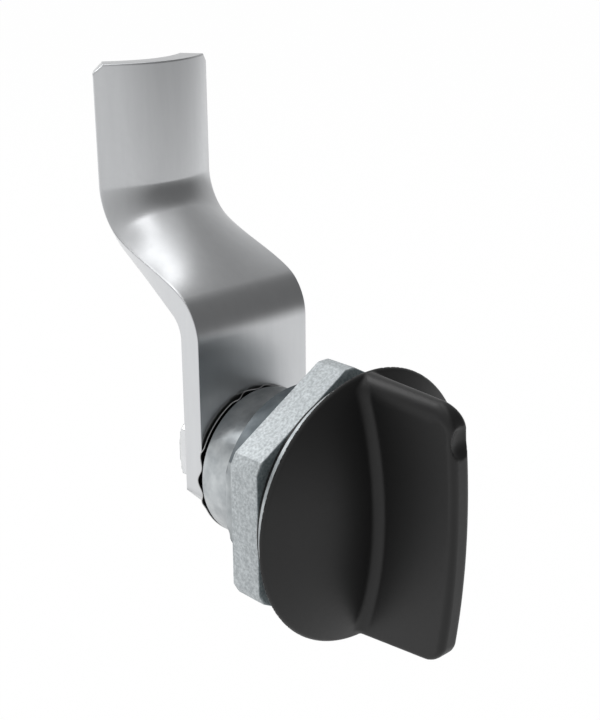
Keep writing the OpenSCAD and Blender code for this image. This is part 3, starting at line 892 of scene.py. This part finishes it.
CARRIED = {
    "flange_gasket": RUBBER, "front_bush": ACETAL, "rear_bush": ACETAL, "spindle": PLATED,
    "spindle_o_ring": RUBBER, "thrust_washer": PLATED, "snap_ring": PLATED,
    "stop_disc": BLACK_STEEL, "spring_washer": PLATED,
}
for node, material in CARRIED.items():
    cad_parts[node].data.materials.clear()
    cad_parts[node].data.materials.append(material)


# Camera: fitted to the photograph's edges

CAMERA_AT = (-94.658, -91.620, 63.446)
CAMERA_YAW = math.radians(-43.366)
CAMERA_PITCH = math.radians(19.647)
CAMERA_ROLL = math.radians(-0.419)
FOCAL_PX = 1322.566
TALL_PX = 720
SENSOR_MM = 36.0


def placed(place, *axes):
    """Matrix that puts an object at a place in metres with its own axes along the given ones."""
    turn = Matrix([[*v, 0] for v in np.stack(axes, 1)] + [[0, 0, 0, 1]])
    return Matrix.Translation(place) @ turn


def make_camera():
    """Pinhole camera at a fitted place; its axes come from yaw, pitch and roll."""
    level = math.cos(CAMERA_PITCH)
    ahead = np.array([
        -math.sin(CAMERA_YAW) * level, math.cos(CAMERA_YAW) * level, -math.sin(CAMERA_PITCH),
    ])
    right = np.array([math.cos(CAMERA_YAW), math.sin(CAMERA_YAW), 0.0])
    up = np.cross(right, ahead)
    c, s = math.cos(CAMERA_ROLL), math.sin(CAMERA_ROLL)
    right, up = c * right + s * up, c * up - s * right
    data = bpy.data.cameras.new("camera")
    data.sensor_width = SENSOR_MM
    data.lens = FOCAL_PX / TALL_PX * SENSOR_MM
    data.clip_start, data.clip_end = 0.005, 20.0
    camera = bpy.data.objects.new("camera", data)
    bpy.context.scene.collection.objects.link(camera)
    camera.matrix_world = placed(np.array(CAMERA_AT) * MM, right, up, -ahead)
    bpy.context.scene.camera = camera


make_camera()


# Studio: white floor and background, a darker band of wall, soft light from above

# How bright the studio is in reflections, as (place, level). The sky is dark round DARK_WALL,
# where the place is the cosine of the angle from it. Behind on the left it follows BACK_BANDS
# and overhead it gains OVERHEAD, by the height of the direction. The floor changes with the
# metres towards the front right.
DARK_WALL = (0.59, -0.70, 0.40)
TO_FRONT_RIGHT = (0.616, -0.788, 0.0)
WALL_LEVELS = (
    (-1.0, 0.75), (0.0, 0.75), (0.34, 0.63), (0.57, 0.5), (0.707, 0.36), (0.83, 0.21),
    (0.9, 0.185), (1.0, 0.185),
)
BACK_BANDS = (
    (-1.0, 1.0), (0.0, 1.05), (0.05, 1.1), (0.14, 1.1), (0.27, 0.2), (0.5, 0.14),
    (0.62, 0.26), (0.78, 0.36), (1.0, 0.5),
)
OVERHEAD = ((-1.0, 0.0), (0.88, 0.0), (0.95, 0.1), (0.98, 0.22), (1.0, 0.35))
# Close to the latch the floor's level dips: a painted shadow of the latch in what reflections see
FLOOR_LEVELS = (
    (-0.3, 1.15), (-0.14, 1.12), (-0.07, 0.95), (0.05, 0.8), (0.13, 0.86), (0.2, 1.25),
    (0.3, 1.02), (0.45, 0.8), (0.6, 0.68), (0.8, 0.6), (1.3, 0.48), (2.0, 0.36), (3.0, 0.25),
)

# In metres: half the floor's width and its height. The share of its own light in what is seen
# of it, its diffuse shade, and the level of the soft light on everything
FLOOR_HALF = 6.0
FLOOR_Z = -0.075
FLOOR_GLOW = 0.985
FLOOR_WHITE = (0.9, 0.9, 0.9, 1)
SOFT_LIGHT = 0.62

# The side of a lamp lies across this direction, which is never quite the lamp's own
LAMP_UP = (0, 1, 0.001)


def make_floor():
    """A wide white floor under the latch.

    The camera sees it as the white background with the latch's faint shadow."""
    w, z = FLOOR_HALF, FLOOR_Z
    mesh = bpy.data.meshes.new("studio_floor")
    mesh.from_pydata([(-w, -w, z), (w, -w, z), (w, w, z), (-w, w, z)], [], [(0, 1, 2, 3)])
    floor = bpy.data.objects.new("studio_floor", mesh)
    bpy.context.scene.collection.objects.link(floor)
    material = bpy.data.materials.new("studio_white")
    material.use_nodes = True
    nodes, link = material.node_tree.nodes, material.node_tree.links.new
    nodes.remove(nodes["Principled BSDF"])
    diffuse, glow = nodes.new("ShaderNodeBsdfDiffuse"), nodes.new("ShaderNodeEmission")
    mix = nodes.new("ShaderNodeMixShader")
    diffuse.inputs["Color"].default_value = FLOOR_WHITE
    path, place = nodes.new("ShaderNodeLightPath"), nodes.new("ShaderNodeTexCoord")
    distance = towards(nodes, link, place.outputs["Object"], TO_FRONT_RIGHT)
    level = level_curve(nodes, link, distance, FLOOR_LEVELS)
    glossy = path.outputs["Is Glossy Ray"]
    change = math_node(nodes, link, "SUBTRACT", level, 1.0)
    change = math_node(nodes, link, "MULTIPLY", glossy, change)
    link(math_node(nodes, link, "ADD", change, 1.0), glow.inputs["Strength"])
    seen = math_node(nodes, link, "MAXIMUM", path.outputs["Is Camera Ray"], glossy)
    seen = math_node(nodes, link, "MAXIMUM", seen, path.outputs["Is Transmission Ray"])
    link(math_node(nodes, link, "MULTIPLY", seen, FLOOR_GLOW), mix.inputs["Fac"])
    link(diffuse.outputs[0], mix.inputs[1])
    link(glow.outputs[0], mix.inputs[2])
    link(mix.outputs[0], nodes["Material Output"].inputs["Surface"])
    mesh.materials.append(material)


def make_world():
    """Soft even light; camera rays see white, and reflections see the studio's bands."""
    world = bpy.data.worlds.new("studio")
    bpy.context.scene.world = world
    world.use_nodes = True
    nodes, link = world.node_tree.nodes, world.node_tree.links.new
    nodes.clear()
    out, path = nodes.new("ShaderNodeOutputWorld"), nodes.new("ShaderNodeLightPath")
    place, split = nodes.new("ShaderNodeTexCoord"), nodes.new("ShaderNodeSeparateXYZ")
    direction = place.outputs["Generated"]
    link(direction, split.inputs[0])
    height = split.outputs["Z"]
    back = math_node(nodes, link, "MINIMUM", towards(nodes, link, direction, TO_FRONT_RIGHT), 0.0)
    back = math_node(nodes, link, "MULTIPLY", back, back)
    wall = level_curve(nodes, link, towards(nodes, link, direction, DARK_WALL), WALL_LEVELS)
    change = math_node(nodes, link, "SUBTRACT", level_curve(nodes, link, height, BACK_BANDS), wall)
    level = math_node(nodes, link, "MULTIPLY_ADD", back, change, wall)
    level = math_node(nodes, link, "ADD", level, level_curve(nodes, link, height, OVERHEAD))
    bands, soft, white = (nodes.new("ShaderNodeBackground") for _ in range(3))
    for background in (bands, soft, white):
        background.inputs["Color"].default_value = (1, 1, 1, 1)
    link(level, bands.inputs["Strength"])
    soft.inputs["Strength"].default_value = SOFT_LIGHT
    white.inputs["Strength"].default_value = 1.0
    to_bands, to_white = nodes.new("ShaderNodeMixShader"), nodes.new("ShaderNodeMixShader")
    mirrored = path.outputs["Is Glossy Ray"], path.outputs["Is Transmission Ray"]
    link(math_node(nodes, link, "MAXIMUM", *mirrored), to_bands.inputs["Fac"])
    link(soft.outputs[0], to_bands.inputs[1])
    link(bands.outputs[0], to_bands.inputs[2])
    link(path.outputs["Is Camera Ray"], to_white.inputs["Fac"])
    link(to_bands.outputs[0], to_white.inputs[1])
    link(white.outputs[0], to_white.inputs[2])
    link(to_white.outputs[0], out.inputs["Surface"])


def softbox(name, place, aim, size, power):
    """An area light of a width and a depth at a place, turned to a point, all in metres."""
    data = bpy.data.lights.new(name, "AREA")
    data.shape = "RECTANGLE"
    data.size, data.size_y = size
    data.energy = power
    lamp = bpy.data.objects.new(name, data)
    bpy.context.scene.collection.objects.link(lamp)
    away = np.array(place, float) - np.array(aim, float)
    away /= np.linalg.norm(away)
    side = np.cross(LAMP_UP, away)
    side /= np.linalg.norm(side)
    lamp.matrix_world = placed(place, side, np.cross(away, side), away)


make_floor()
make_world()
softbox("key_above", (0.12, 0.165, 0.605), (0, 0.025, 0.03), (0.38, 0.21), 0.46)
softbox("top_left", (-0.07, -0.05, 0.6), (0, 0.025, 0.03), (0.14, 0.12), 0.12)
softbox("rim_behind", (-0.16, 0.56, 0.52), (0, 0, 0.01), (0.42, 0.42), 2.6)

bpy.context.scene.view_settings.view_transform = "Standard"
